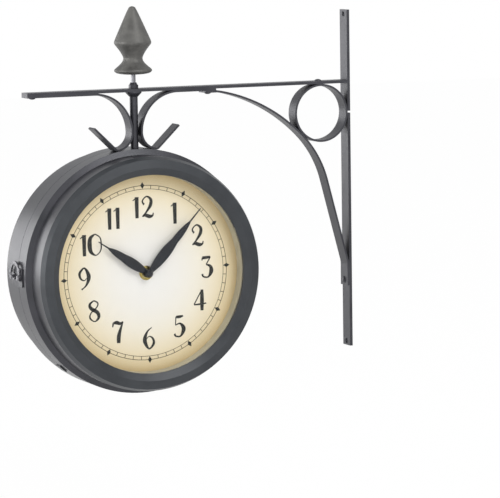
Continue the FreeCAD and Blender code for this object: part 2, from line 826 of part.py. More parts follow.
def latch_hook():
    """Arched hook that swings down over the stud; stored just lifted off it."""
    body = new_body("latch_hook", "-pole_offset", LATCH_Y, DIAL_LEVEL, "latch_lift", (1, 0, 0))
    inner = "((latch_reach + latch_pin_radius + latch_play - latch_hook_width / 2) / 2)"
    middle = f"({inner} + latch_hook_width / 2)"
    outer = f"({inner} + latch_hook_width)"
    arch = new_sketch(body, "YZ_Plane", f"-{HOOK_FRONT}")
    outline(
        arch,
        [
            (f"{middle} + {inner}", "0"),
            (middle, inner, inner, 1),
            (f"{middle} - {inner}", "0", inner, 1),
            (f"{middle} - {outer}", "0"),
            (middle, outer, outer, -1),
            (f"{middle} + {outer}", "0", outer, -1),
            (f"{middle} + {outer}", "-latch_hook_tip"),
            (f"{middle} + {inner}", "-latch_hook_tip"),
        ],
    )
    pad(body, arch, "latch_hook_thickness")
    boss = new_sketch(body, "YZ_Plane", f"-{HOOK_FRONT}")
    circle(boss, "0", "0", "latch_boss_radius")
    pad(body, boss, "latch_hook_thickness")
    knob = new_sketch(body, "YZ_Plane", f"-{HOOK_FRONT}")
    circle(knob, f"{middle} + {outer}", "-latch_hook_tip", "latch_knob_radius")
    pad(body, knob, "latch_hook_thickness")
    bore = new_sketch(body, "YZ_Plane", f"-{HOOK_FRONT} - 1")
    circle(bore, "0", "0", "latch_pin_radius + running_play")
    pocket(body, bore, "latch_hook_thickness + 2", True)


def latch_stud():
    """Headed stud on the thermometer half that the hook drops over."""
    body = new_body("latch_stud", "-pole_offset", f"{LATCH_Y} + latch_reach")
    head = f"({HOOK_FRONT} + latch_play)"
    profile = [
        ("-band_radius - fit_gap", "0"),
        ("-band_radius - fit_gap", "latch_boss_radius"),
        (f"-{LATCH_FOOT}", "latch_boss_radius"),
        (f"-{LATCH_FOOT}", "latch_pin_radius"),
        (f"-{head}", "latch_pin_radius"),
        (f"-{head}", "latch_head_radius"),
        (f"-{head} - latch_head_height", "latch_head_radius - 0.6"),
        (f"-{head} - latch_head_height", "0"),
    ]
    revolve(body, profile, "XY_Plane", "H_Axis")


def locating_tab():
    """Curved tab on the clock half that laps over the seam."""
    body = new_body("locating_tab", turn="180 + tab_angle")
    inner = "(band_radius + latch_play)"
    outer = f"({inner} + tab_thickness)"
    half = "(tab_width / 2)"
    corners = [
        (f"-{half}", f"sqrt(pow({inner}; 2) - pow({half}; 2))"),
        (half, f"sqrt(pow({inner}; 2) - pow({half}; 2))", inner, -1),
        (half, f"sqrt(pow({outer}; 2) - pow({half}; 2))"),
        (f"-{half}", f"sqrt(pow({outer}; 2) - pow({half}; 2))", outer, 1),
    ]
    extrude_across(body, corners, f"{SEAM} + tab_length / 2", "tab_length")


# ---------------------------------------------------------------- clock movement

MOVE_FRONT = f"({DIAL_BACK} - gasket_thickness)"
MOVE_INSIDE = f"({MOVE_FRONT} - movement_wall)"
MOVE_REAR = f"({MOVE_FRONT} - movement_depth)"
COVER_INSIDE = f"({MOVE_REAR} + movement_wall)"
BAY_TOP = "(battery_diameter + 2 * movement_wall - movement_side / 2 + 0.6)"
BATTERY_Z = "(movement_wall + 0.3 + battery_diameter / 2 - movement_side / 2)"
HOUR_LEVEL = f"({MOVE_INSIDE} - 3.2)"
HOUR_HAND_BACK = f"({MOVE_FRONT} + bush_length + 1)"
MINUTE_HAND_BACK = f"({HOUR_HAND_BACK} + hand_thickness + hand_gap)"


def movement_housing():
    """Moulded housing: closed above, open battery bay below, threaded bush in front."""
    body = new_body("movement_housing")
    back = out(COVER_INSIDE, -1)
    side = "movement_side"
    extrude_across(body, box_corners("0", "0", side, side), back, "movement_depth - movement_wall")
    half = "(movement_side / 2 - movement_wall)"
    top = f"({BAY_TOP} - movement_wall / 2)"
    bay = new_sketch(body, "XZ_Plane", f"-{back}")
    outline(bay, [(f"-{half}", f"-{half}"), (half, f"-{half}"), (half, top), (f"-{half}", top)])
    pocket(body, bay, "movement_depth - 2 * movement_wall", True)
    bush = new_sketch(body, "XZ_Plane", f"-{out(MOVE_FRONT + ' - movement_wall / 2', -1)}")
    circle(bush, "0", "0", "bush_radius")
    pad(body, bush, "bush_length + movement_wall / 2")
    bore = new_sketch(body, "XZ_Plane", f"-{back}")
    circle(bore, "0", "0", "tube_radius + running_play")
    pocket(body, bore, "movement_depth + bush_length", True)
    seat = new_sketch(body, "XZ_Plane", f"-{back}")
    circle(seat, "0", "knob_offset", "arbor_radius + running_play")
    pocket(body, seat, "knob_stem + fit_gap", True)


def movement_cover():
    """Rear cover of the housing with the bearings of arbor and knob."""
    body = new_body("movement_cover")
    half = "(movement_side / 2)"
    corners = [(f"-{half}", BAY_TOP), (half, BAY_TOP), (half, half), (f"-{half}", half)]
    holes = [
        ("0", "0", "arbor_pivot + running_play"),
        ("0", "knob_offset", "arbor_radius + running_play"),
    ]
    extrude_across(body, corners, out(MOVE_REAR, -1), "movement_wall", holes)


def minute_arbor():
    """Centre arbor that carries the minute hand."""
    body = new_body("minute_arbor")
    shoulder = f"({COVER_INSIDE} + 0.3)"
    end = f"({MINUTE_HAND_BACK} + hand_thickness + 0.4)"
    profile = [
        ("0", f"{MOVE_REAR} + 0.2"),
        ("arbor_pivot", f"{MOVE_REAR} + 0.2"),
        ("arbor_pivot", shoulder),
        ("arbor_radius", shoulder),
        ("arbor_radius", end),
        ("0", end),
    ]
    revolve(body, half_profile(-1, profile))


def hour_tube():
    """Tube round the arbor that carries the hour hand."""
    body = new_body("hour_tube")
    end = f"({HOUR_HAND_BACK} + hand_thickness + 0.3)"
    sketch = new_sketch(body, "XZ_Plane", f"-{out(HOUR_LEVEL, -1)}")
    circle(sketch, "0", "0", "tube_radius")
    circle(sketch, "0", "0", "arbor_radius + running_play")
    pad(body, sketch, f"{end} - {HOUR_LEVEL}")


def set_knob():
    """Setting knob behind the cover, on a stem into the housing."""
    body = new_body("set_knob", "-pole_offset", "0", f"{DIAL_LEVEL} + knob_offset")
    face = f"({MOVE_REAR} - latch_play)"
    profile = [
        ("0", f"{face} - knob_height"),
        ("knob_radius", f"{face} - knob_height"),
        ("knob_radius", face),
        ("arbor_radius", face),
        ("arbor_radius", f"{COVER_INSIDE} + knob_stem"),
        ("0", f"{COVER_INSIDE} + knob_stem"),
    ]
    revolve(body, half_profile(-1, profile))


def battery():
    """Round cell in the bay, its nub towards +X."""
    depth = f"({MOVE_INSIDE} - 0.3 - battery_diameter / 2)"
    body = new_body("battery", "-pole_offset", out(depth, -1), f"{BATTERY_Z} + {DIAL_LEVEL}")
    half = "(battery_length / 2)"
    radius = "(battery_diameter / 2)"
    profile = [
        (f"-{half}", "0"),
        (f"{half} + battery_nub", "0"),
        (f"{half} + battery_nub", "2.7"),
        (half, "2.7"),
        (half, radius),
        (f"-{half}", radius),
    ]
    revolve(body, profile, "XY_Plane", "H_Axis")


def battery_contact(label, end):
    """Sprung contact plate at one end of the bay; end 1 is the nub end."""
    body = new_body(label, "-pole_offset", "0", f"{BATTERY_Z} + {DIAL_LEVEL}")
    wall = "(movement_side / 2 - movement_wall)"
    low = f"{wall} - 0.5" if end > 0 else f"-{wall} + 0.1"
    back = out(f"({MOVE_INSIDE} - 0.4)", -1)
    sketch = new_sketch(body, "YZ_Plane", low)
    outline(sketch, [
        (back, "-4"),
        (f"{back} + 10", "-4"),
        (f"{back} + 10", "4"),
        (back, "4"),
    ])
    pad(body, sketch, "0.4")


def dial_fixings():
    """Rubber gasket behind the dial, brass washer and nut in front of it."""
    bush = "bush_radius + rivet_play"
    round_plate("dial_gasket", -1, "bush_radius + 5", MOVE_FRONT, "gasket_thickness", bush)
    round_plate(
        "brass_washer", -1, "brass_washer_radius", DIAL_FACE, "brass_washer_thickness", bush
    )
    body = new_body("brass_nut")
    back = out(f"({DIAL_FACE} + brass_washer_thickness)", -1)
    corners = hexagon_corners("0", "0", "brass_nut_width")
    extrude_across(body, corners, back, "brass_nut_height", [("0", "0", bush)])


# ---------------------------------------------------------------- hands


def hand(label, kind, back, bore):
    """Spear hand: round hub, leaf that swells and narrows to a needle."""
    length = f"{kind}_length"
    width = f"{kind}_width"
    body = new_body(label, turn=f"{kind}_angle")
    blade = new_sketch(body, "XZ_Plane", f"-{out(back, -1)}")
    root = "(hand_hub_radius * 0.3)"
    belly = f"({length} * 0.5)"
    waist = f"({length} * 0.8)"
    flank = f"({length} * 0.9)"
    outline(
        blade,
        [
            (f"-{root}", "0", flank, 1),
            (root, "0"),
            (f"{width} / 2", belly, flank, 1),
            (f"{width} * 0.1", waist, flank, 1),
            (f"{width} * 0.06", length),
            (f"-{width} * 0.06", length),
            (f"-{width} * 0.1", waist),
            (f"-{width} / 2", belly, flank, 1),
        ],
    )
    pad(body, blade, "hand_thickness")
    boss = new_sketch(body, "XZ_Plane", f"-{out(back, -1)}")
    circle(boss, "0", "0", "hand_hub_radius")
    pad(body, boss, "hand_thickness")
    hole = new_sketch(body, "XZ_Plane", f"-{out(back + ' - 1', -1)}")
    circle(hole, "0", "0", bore)
    pocket(body, hole, "hand_thickness + 2", True)


def hand_cap():
    """Rounded cap on the end of the arbor."""
    body = new_body("hand_cap")
    back = f"({MINUTE_HAND_BACK} + hand_thickness)"
    bore = "(arbor_radius + rivet_play)"
    profile = [
        (bore, back),
        ("cap_radius", back),
        ("cap_radius", f"{back} + cap_radius * 0.5"),
        ("cap_radius / 2", f"{back} + cap_radius"),
        ("0", f"{back} + cap_radius"),
        ("0", f"{back} + 0.6"),
        (bore, f"{back} + 0.6"),
    ]
    revolve(body, half_profile(-1, profile))


# ---------------------------------------------------------------- thermometer

CUP_BOTTOM = f"({DIAL_BACK} - cup_depth)"
COIL_LEVEL = f"({CUP_BOTTOM} + cup_wall + 1)"
POINTER_BACK = f"({DIAL_FACE} + pointer_bush_flange + 0.4)"


def thermometer_cup():
    """Cup behind the thermometer dial that holds the coil."""
    body = new_body("thermometer_cup")
    inner = "(cup_radius - cup_wall)"
    profile = [
        ("0", CUP_BOTTOM),
        ("cup_radius", CUP_BOTTOM),
        ("cup_radius", f"{DIAL_BACK} - fit_gap"),
        (inner, f"{DIAL_BACK} - fit_gap"),
        (inner, f"{CUP_BOTTOM} + cup_wall"),
        ("0", f"{CUP_BOTTOM} + cup_wall"),
    ]
    revolve(body, half_profile(1, profile))


def pointer_bush():
    """Brass bearing of the pointer shaft in the thermometer dial."""
    body = new_body("pointer_bush")
    bore = "(pointer_shaft_radius + running_play)"
    profile = [
        (bore, f"{DIAL_BACK} - 1.5"),
        ("dial_hole - fit_gap", f"{DIAL_BACK} - 1.5"),
        ("dial_hole - fit_gap", DIAL_FACE),
        ("dial_hole + 1", DIAL_FACE),
        ("dial_hole + 1", f"{DIAL_FACE} + pointer_bush_flange"),
        (bore, f"{DIAL_FACE} + pointer_bush_flange"),
    ]
    revolve(body, half_profile(1, profile))


def pointer_shaft():
    """Shaft with the hub that takes the inner end of the coil."""
    body = new_body("pointer_shaft")
    hub = "coil_hub_radius"
    base = f"({CUP_BOTTOM} + cup_wall + 0.3)"
    profile = [
        ("0", base),
        (hub, base),
        (hub, f"{base} + coil_hub_height"),
        ("pointer_shaft_radius", f"{base} + coil_hub_height"),
        ("pointer_shaft_radius", f"{POINTER_BACK} + hand_thickness + 0.3"),
        ("0", f"{POINTER_BACK} + hand_thickness + 0.3"),
    ]
    revolve(body, half_profile(1, profile))


def thermometer_pointer():
    """Needle with a short broad tail; it points clockwise from zero seen from its own side."""
    body = new_body("thermometer_pointer", turn="-pointer_angle")
    front = out(f"({POINTER_BACK} + hand_thickness)", 1)
    corners = [
        ("-pointer_width", "-pointer_tail"),
        ("pointer_width", "-pointer_tail"),
        ("pointer_width / 2", "0"),
        ("pointer_width * 0.16", "pointer_length"),
        ("-pointer_width * 0.16", "pointer_length"),
        ("-pointer_width / 2", "0"),
    ]
    extrude_across(body, corners, front, "hand_thickness")
    boss = new_sketch(body, "XZ_Plane", f"-{front}")
    circle(boss, "0", "0", "pointer_hub_radius")
    pad(body, boss, "hand_thickness")
    hole = new_sketch(body, "XZ_Plane", f"-({front} + 1)")
    circle(hole, "0", "0", "pointer_shaft_radius + rivet_play")
    pocket(body, hole, "hand_thickness + 2", True)


def pointer_hub():
    """Round cap on the pointer."""
    body = new_body("pointer_hub")
    back = f"({POINTER_BACK} + hand_thickness)"
    bore = "(pointer_shaft_radius + rivet_play)"
    profile = [
        (bore, back),
        ("pointer_hub_radius", back),
        ("pointer_hub_radius * 0.8", f"{back} + pointer_hub_radius / 2"),
        ("0", f"{back} + pointer_hub_radius / 2"),
        ("0", f"{back} + 0.5"),
        (bore, f"{back} + 0.5"),
    ]
    revolve(body, half_profile(1, profile))


COIL_TURNS = 3


def bimetal_coil():
    """Flat spiral of half turns; the centre of each shifts so that the radius keeps growing."""
    pitch = number("coil_pitch")
    strip = number("coil_strip")
    start = number("coil_hub_radius + coil_strip / 2 + latch_play + coil_pitch / 4")
    borders = []
    for border in (-strip / 2, strip / 2):
        radius = start + border
        edges = []
        for half_turn in range(2 * COIL_TURNS):
            side = 1 if half_turn % 2 == 0 else -1
            centre = FreeCAD.Vector(-side * pitch / 4, 0, 0)
            first = centre + FreeCAD.Vector(side * radius, 0, 0)
            middle = centre + FreeCAD.Vector(0, 0, side * radius)
            last = centre - FreeCAD.Vector(side * radius, 0, 0)
            edges.append(Part.Arc(first, middle, last).toShape())
            radius += pitch / 2
        borders.append(edges)
    inner, outer = borders
    begin = Part.LineSegment(inner[0].Vertexes[0].Point, outer[0].Vertexes[0].Point).toShape()
    finish = Part.LineSegment(inner[-1].Vertexes[1].Point, outer[-1].Vertexes[1].Point).toShape()
    rim = Part.Wire(Part.__sortEdges__(inner + outer + [begin, finish]))
    spiral = doc.addObject("Part::Feature", "bimetal_coil")
    spiral.Label = "bimetal_coil"
    spiral.Shape = Part.Face(rim).extrude(FreeCAD.Vector(0, number("coil_width"), 0))
    bind(spiral, "Placement.Base.x", "-pole_offset")
    bind(spiral, "Placement.Base.y", out(COIL_LEVEL, 1))
    bind(spiral, "Placement.Base.z", DIAL_LEVEL)
    pieces.append(spiral)


def coil_post():
    """Post on the cup floor that holds the outer end of the coil."""
    outer = f"(coil_hub_radius + coil_strip / 2 + latch_play + coil_pitch * {COIL_TURNS})"
    body = new_body("coil_post")
    sketch = new_sketch(body, "XZ_Plane", f"-{out(COIL_LEVEL + ' + coil_width', 1)}")
    width = "2"
    outline(sketch, box_corners(f"({outer} + coil_strip / 2 + fit_gap + 1)", "0", width, "4"))
    pad(body, sketch, f"{COIL_LEVEL} + coil_width - {CUP_BOTTOM} - cup_wall")


# ---------------------------------------------------------------- build

wall_plate()
arm_bar()
corner_ring()
brace_bar()
scroll("scroll_left", -1, "(arm_reach - pole_offset)")
scroll("scroll_right", 1, "(pole_offset - brace_rivet + scroll_overlap)")
rivet_heads()
hanger_pole()
pole_collar()
top_nut()
tie_rod()
tie_nut()
tie_washer()
finial()
case_shell("front_case_shell", -1)
dial_tabs("front_dial_tabs", -1)
bezel("front_bezel", -1)
round_plate("front_glass", -1, GLASS_RADIUS, GLASS_BACK, "glass_thickness")
spacer_ring("front_spacer_ring", -1)
round_plate("clock_dial", -1, INSIDE_RADIUS, DIAL_BACK, "dial_thickness", "dial_hole")
case_shell("rear_case_shell", 1)
dial_tabs("rear_dial_tabs", 1)
bezel("rear_bezel", 1)
round_plate("rear_glass", 1, GLASS_RADIUS, GLASS_BACK, "glass_thickness")
spacer_ring("rear_spacer_ring", 1)
round_plate("thermometer_dial", 1, INSIDE_RADIUS, DIAL_BACK, "dial_thickness", "dial_hole")
hinge_leaf("front_hinge_leaf", -1, ("(-hinge_height / 2)", "(hinge_height / 6)"))
hinge_leaf("rear_hinge_leaf", 1, ("(-hinge_height / 6)",))
hinge_pin()
latch_plate()
latch_pin()
latch_hook()
latch_stud()
locating_tab()
movement_housing()
movement_cover()
minute_arbor()
hour_tube()
set_knob()
battery()
battery_contact("battery_contact_plus", 1)
battery_contact("battery_contact_minus", -1)
dial_fixings()
hand("hour_hand", "hour", HOUR_HAND_BACK, "tube_radius + rivet_play")
hand("minute_hand", "minute", MINUTE_HAND_BACK, "arbor_radius + rivet_play")
hand_cap()
thermometer_cup()
pointer_bush()
pointer_shaft()
thermometer_pointer()
pointer_hub()
bimetal_coil()
coil_post()

doc.recompute()
failed = [item.Name for item in doc.Objects if {"Invalid", "Error"} & set(item.State)]
failed += [piece.Label for piece in pieces if piece.Shape.isNull() or not piece.Shape.isValid()]
if failed:
    raise RuntimeError("not built: " + ", ".join(failed))
os.makedirs("parts", exist_ok=True)
for piece in pieces:
    piece.Shape.exportStep(f"parts/{piece.Label}.step")
    print(piece.Label, len(piece.Shape.Solids), round(piece.Shape.Volume, 1))
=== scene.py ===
import math

import bmesh
import bpy
from mathutils import Matrix, Vector


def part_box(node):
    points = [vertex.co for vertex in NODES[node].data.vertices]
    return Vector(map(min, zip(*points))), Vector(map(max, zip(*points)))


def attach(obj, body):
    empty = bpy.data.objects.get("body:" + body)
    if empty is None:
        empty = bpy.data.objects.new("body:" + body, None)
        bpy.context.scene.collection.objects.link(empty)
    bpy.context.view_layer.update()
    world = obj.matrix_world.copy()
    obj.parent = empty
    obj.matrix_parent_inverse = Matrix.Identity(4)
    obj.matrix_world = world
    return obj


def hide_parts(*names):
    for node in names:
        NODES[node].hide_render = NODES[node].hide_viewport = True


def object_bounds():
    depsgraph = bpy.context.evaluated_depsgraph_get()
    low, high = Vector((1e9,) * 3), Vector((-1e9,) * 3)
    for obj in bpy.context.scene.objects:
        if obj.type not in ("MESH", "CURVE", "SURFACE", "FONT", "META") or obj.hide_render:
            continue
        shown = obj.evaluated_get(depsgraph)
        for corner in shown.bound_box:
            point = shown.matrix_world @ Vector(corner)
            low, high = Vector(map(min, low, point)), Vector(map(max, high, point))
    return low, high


# Looks of the double sided clock: paint, prints on both dials, smooth turned forms, light, camera.
# Metres, in the row frame: the clock dial faces -Y and the thermometer dial faces +Y.

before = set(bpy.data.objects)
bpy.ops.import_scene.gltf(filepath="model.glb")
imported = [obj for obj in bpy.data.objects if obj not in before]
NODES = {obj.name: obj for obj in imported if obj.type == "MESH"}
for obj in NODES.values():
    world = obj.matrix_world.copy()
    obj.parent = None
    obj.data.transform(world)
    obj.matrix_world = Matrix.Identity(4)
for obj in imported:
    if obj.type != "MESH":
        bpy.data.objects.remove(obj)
CAD_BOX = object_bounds()
ROOT = "bracket_and_clock_half"
DOOR = "thermometer_half"
MM = 0.001


def middle(node):
    low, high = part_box(node)
    return (Vector(low) + Vector(high)) / 2


AXIS = middle("clock_dial")
CLOCK_FACE_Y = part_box("clock_dial")[0][1]
THERMOMETER_FACE_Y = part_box("thermometer_dial")[1][1]

# ---------------------------------------------------------------- materials


def colour(code):
    """Linear colour of an sRGB code such as "#41464C"."""
    parts = [int(code[i : i + 2], 16) / 255 for i in (1, 3, 5)]
    return tuple(p / 12.92 if p < 0.04045 else ((p + 0.055) / 1.055) ** 2.4 for p in parts) + (1,)


def new_material(name):
    material = bpy.data.materials.new(name)
    material.use_nodes = True
    nodes = material.node_tree.nodes
    return material, nodes, material.node_tree.links, nodes["Principled BSDF"]


def noise(nodes, links, scale, detail=4):
    """Noise in the object's own space; scale is in features per metre."""
    place = nodes.new("ShaderNodeTexCoord")
    texture = nodes.new("ShaderNodeTexNoise")
    texture.inputs["Scale"].default_value = scale
    texture.inputs["Detail"].default_value = detail
    links.new(place.outputs["Object"], texture.inputs["Vector"])
    return texture.outputs["Fac"]


def spread(nodes, links, source, low, high):
    """Stretch the middle of a noise to the range low..high."""
    node = nodes.new("ShaderNodeMapRange")
    node.inputs["From Min"].default_value = 0.3
    node.inputs["From Max"].default_value = 0.7
    node.inputs["To Min"].default_value = low
    node.inputs["To Max"].default_value = high
    links.new(source, node.inputs["Value"])
    return node.outputs["Result"]


def surface(name, dark, light, roughness, metallic=0.0, patch=35, grain=1800, bump=0.05, coat=0.0):
    """Two close colours in soft patches, roughness that varies, and a fine grain as bump."""
    material, nodes, links, shader = new_material(name)
    shader.inputs["Metallic"].default_value = metallic
    shader.inputs["Coat Weight"].default_value = coat
    shader.inputs["Coat Roughness"].default_value = 0.25
    patches = noise(nodes, links, patch)
    ramp = nodes.new("ShaderNodeValToRGB")
    ramp.color_ramp.elements[0].position = 0.35
    ramp.color_ramp.elements[0].color = colour(dark)
    ramp.color_ramp.elements[1].position = 0.65
    ramp.color_ramp.elements[1].color = colour(light)
    links.new(patches, ramp.inputs["Fac"])
    links.new(ramp.outputs["Color"], shader.inputs["Base Color"])
    links.new(spread(nodes, links, patches, roughness[0], roughness[1]), shader.inputs["Roughness"])
    bumps = nodes.new("ShaderNodeBump")
    bumps.inputs["Strength"].default_value = bump
    bumps.inputs["Distance"].default_value = 0.2 * MM
    links.new(noise(nodes, links, grain, 2), bumps.inputs["Height"])
    links.new(bumps.outputs["Normal"], shader.inputs["Normal"])
    return material


# Radius where the dial's colours end, and the share of paper grain in them.
DIAL_REACH = 104 * MM
PAPER_GRAIN = 0.06
DIAL_BACK = "#A9A8A4"


def dial_surface(name, stops, node, side):
    """Dial with a plain back; its front colour goes by distance from the axis, each stop (radius in mm, code):
    printed tone, with painted shade that darkens it towards the rim under the bezel.
    """
    material, nodes, links, shader = new_material(name)
    shader.inputs["Roughness"].default_value = 0.55
    place = nodes.new("ShaderNodeTexCoord")
    flat = nodes.new("ShaderNodeVectorMath")
    flat.operation = "MULTIPLY_ADD"
    flat.inputs[1].default_value = (1, 0, 1)
    flat.inputs[2].default_value = (-AXIS.x, 0, -AXIS.z)
    length = nodes.new("ShaderNodeVectorMath")
    length.operation = "LENGTH"
    share = nodes.new("ShaderNodeMath")
    share.operation = "DIVIDE"
    share.inputs[1].default_value = DIAL_REACH
    ramp = nodes.new("ShaderNodeValToRGB")
    ramp.color_ramp.interpolation = "B_SPLINE"
    elements = ramp.color_ramp.elements
    while len(elements) < len(stops):
        elements.new(0.5)
    for element, (radius, code) in zip(elements, stops):
        element.position = radius * MM / DIAL_REACH
        element.color = colour(code)
    links.new(place.outputs["Object"], flat.inputs[0])
    links.new(flat.outputs["Vector"], length.inputs[0])
    links.new(length.outputs["Value"], share.inputs[0])
    links.new(share.outputs["Value"], ramp.inputs["Fac"])
    paper = nodes.new("ShaderNodeMix")
    paper.data_type = "RGBA"
    paper.blend_type = "MULTIPLY"
    paper.inputs["Factor"].default_value = PAPER_GRAIN
    links.new(ramp.outputs["Color"], paper.inputs["A"])
    links.new(noise(nodes, links, 120), paper.inputs["B"])
    split = nodes.new("ShaderNodeSeparateXYZ")
    front = nodes.new("ShaderNodeMath")
    front.operation = "GREATER_THAN" if side > 0 else "LESS_THAN"
    front.inputs[1].default_value = middle(node).y
    plain = nodes.new("ShaderNodeMix")
    plain.data_type = "RGBA"
    plain.inputs["A"].default_value = colour(DIAL_BACK)
    links.new(place.outputs["Object"], split.inputs["Vector"])
    links.new(split.outputs["Y"], front.inputs[0])
    links.new(front.outputs["Value"], plain.inputs["Factor"])
    links.new(paper.outputs["Result"], plain.inputs["B"])
    links.new(plain.outputs["Result"], shader.inputs["Base Color"])
    return material


PAINT = surface("anthracite_paint", "#35363A", "#404045", (0.32, 0.42), 0.6, bump=0.12, coat=0.15)
BEZEL_PAINT = surface("bezel_paint", "#2D3034", "#36393D", (0.36, 0.46), 0.35, bump=0.12, coat=0.15)
BAR_PAINT = surface("bar_paint", "#36363B", "#434348", (0.36, 0.48), 0.6, bump=0.15, coat=0.1)
CAST = surface("cast_paint", "#504F4D", "#656461", (0.42, 0.6), 0.45, 90, 700, 0.5)
STEEL = surface("plain_steel", "#707074", "#8C8C90", (0.25, 0.4), 1.0, 60, 2500, 0.08)
NICKEL = surface("nickel", "#66656A", "#88878B", (0.2, 0.3), 1.0, 80, 2500, 0.04)
BRASS = surface("brass", "#A39458", "#C9BB80", (0.22, 0.35), 1.0, 120, 2500, 0.06)
INNER = surface("beige_paint", "#B0AB97", "#BCB7A3", (0.5, 0.6), 0.0, 40, 1500, 0.05)
HAND = surface("hand_paint", "#0F1218", "#161A22", (0.34, 0.46), 0.1, 60, 2200, 0.05)
MOULDING = surface("black_moulding", "#17181A", "#222326", (0.45, 0.6), 0.0, 60, 1500, 0.2)
KNOB = surface("knob_moulding", "#1C1D20", "#26272B", (0.25, 0.35), 0.0, 60, 1500, 0.1)
TUBE = surface("white_moulding", "#D8D8D0", "#E4E4DC", (0.4, 0.5), 0.0, 60, 1500, 0.05)
RUBBER = surface("rubber", "#161616", "#202020", (0.7, 0.85), 0.0, 80, 1200, 0.2)
JACKET = surface("cell_jacket", "#39414B", "#48525E", (0.25, 0.35), 0.3, 50, 1500, 0.04)
CUP = surface("pressed_sheet", "#8D8E90", "#A2A3A5", (0.3, 0.42), 1.0, 50, 2200, 0.1)
BIMETAL = surface("bimetal", "#94805A", "#AE9A72", (0.28, 0.4), 1.0, 90, 2200, 0.08)
INK = surface("ink", "#141510", "#1D1E19", (0.55, 0.65), 0.0, 200, 2500, 0.02)
FINE_INK = surface("fine_ink", "#3A3526", "#453F2E", (0.55, 0.65), 0.0, 200, 2500, 0.02)
# Clock dial: white centre to cream print; the darkest tan stop at the rim is partly print and partly painted
# shade under the bezel.
CLOCK_FACE = dial_surface(
    "clock_face",
    [(0, "#E6E5E2"), (34, "#E4E1DA"), (58, "#E5DFCF"), (78, "#E2D5B6"), (92, "#DAC89E"), (102, "#B89E6C")],
    "clock_dial",
    -1,
)
# Thermometer dial: pale centre to yellow print; the darkening to dark ochre at the rim is partly print and
# partly painted shade under the bezel.
THERMOMETER_FACE = dial_surface(
    "thermometer_face",
    [(0, "#E8E4CC"), (34, "#E4DBB2"), (58, "#DCCD8E"), (80, "#CBB66A"), (93, "#AB9246"), (102, "#867032")],
    "thermometer_dial",
    1,
)


def glass_surface():
    """Clear pane that reflects more at a low angle."""
    material, nodes, links, shader = new_material("clear_pane")
    shader.inputs["Base Color"].default_value = (0.5, 0.5, 0.5, 1)
    shader.inputs["Roughness"].default_value = 0.03
    shader.inputs["Specular IOR Level"].default_value = 0.6
    edge = nodes.new("ShaderNodeLayerWeight")
    edge.inputs["Blend"].default_value = 0.05
    clear = nodes.new("ShaderNodeMapRange")
    clear.inputs["To Min"].default_value = 0.008
    clear.inputs["To Max"].default_value = 0.6
    links.new(edge.outputs["Fresnel"], clear.inputs["Value"])
    links.new(clear.outputs["Result"], shader.inputs["Alpha"])
    return material


GLASS = glass_surface()

FINISH = {
    BAR_PAINT: (
        "wall_plate arm_bar corner_ring brace_bar scroll_left scroll_right hanger_pole"
        " pole_collar top_nut rivet_heads"
    ),
    CAST: "finial",
    PAINT: (
        "front_case_shell rear_case_shell front_hinge_leaf rear_hinge_leaf locating_tab"
        " latch_plate front_dial_tabs rear_dial_tabs"
    ),
    BEZEL_PAINT: "front_bezel rear_bezel",
    STEEL: "tie_rod tie_nut tie_washer hinge_pin minute_arbor pointer_shaft",
    NICKEL: "latch_hook latch_pin latch_stud battery_contact_plus battery_contact_minus",
    GLASS: "front_glass rear_glass",
    INNER: "front_spacer_ring rear_spacer_ring",
    CLOCK_FACE: "clock_dial",
    THERMOMETER_FACE: "thermometer_dial",
    HAND: "hour_hand minute_hand hand_cap thermometer_pointer pointer_hub",
    BRASS: "brass_washer brass_nut pointer_bush",
    MOULDING: "movement_housing movement_cover",
    TUBE: "hour_tube",
    KNOB: "set_knob",
    RUBBER: "dial_gasket",
    JACKET: "battery",
    CUP: "thermometer_cup coil_post",
    BIMETAL: "bimetal_coil",
}
SMOOTH_ANGLE = math.radians(38)


def wear(obj, material):
    obj.data.materials.clear()
    obj.data.materials.append(material)
    obj.data.shade_smooth()
    obj.data.set_sharp_from_angle(angle=SMOOTH_ANGLE)


for finish, names in FINISH.items():
    for name in names.split():
        wear(NODES[name], finish)

# ---------------------------------------------------------------- new pieces


def add_mesh(name, mesh, body, material):
    obj = bpy.data.objects.new(name, mesh)
    bpy.context.collection.objects.link(obj)
    wear(obj, material)
    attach(obj, body)
    return obj


def through(points, steps):
    """Smooth line through points, as a Catmull-Rom spline; each point may hold extra numbers."""
    ends = [points[0]] + list(points) + [points[-1]]
    line = []
    for a, b, c, d in zip(ends, ends[1:], ends[2:], ends[3:]):
        for step in range(steps):
            t = step / steps
            line.append([
                0.5 * (
                    2 * q + (r - p) * t + (2 * p - 5 * q + 4 * r - s) * t**2 + (3 * q - p - 3 * r + s) * t**3
                )
                for p, q, r, s in zip(a, b, c, d)
            ])
    line.append(list(points[-1]))
    return line


def turned(name, profile, place, direction, body, material, around):
    """Surface of revolution: profile of (radius, height) in metres along a direction."""
    mesh = bpy.data.meshes.new(name)
    build = bmesh.new()
    turn = Vector((0, 0, 1)).rotation_difference(Vector(direction)).to_matrix().to_4x4()
    matrix = Matrix.Translation(place) @ turn
    rings = []
    for radius, height in profile:
        count = around if radius > 1e-6 else 1
        rings.append([
            build.verts.new(matrix @ Vector((
                radius * math.cos(2 * math.pi * i / count), radius * math.sin(2 * math.pi * i / count), height
            )))
            for i in range(count)
        ])
    for low, high in zip(rings, rings[1:]):
        for i in range(around):
            after = i + 1
            corners = [low[i % len(low)], low[after % len(low)], high[after % len(high)], high[i % len(high)]]
            unique = list(dict.fromkeys(corners))
            if len(unique) > 2:
                build.faces.new(unique)
    build.to_mesh(mesh)
    build.free()
    return add_mesh(name, mesh, body, material)


def dome_profile(radius, rise, steps=8):
    """Quarter ellipse from the rim to the top."""
    return [
        (radius * math.cos(math.pi / 2 * i / steps), rise * math.sin(math.pi / 2 * i / steps))
        for i in range(steps + 1)
    ]


# ---------------------------------------------------------------- prints

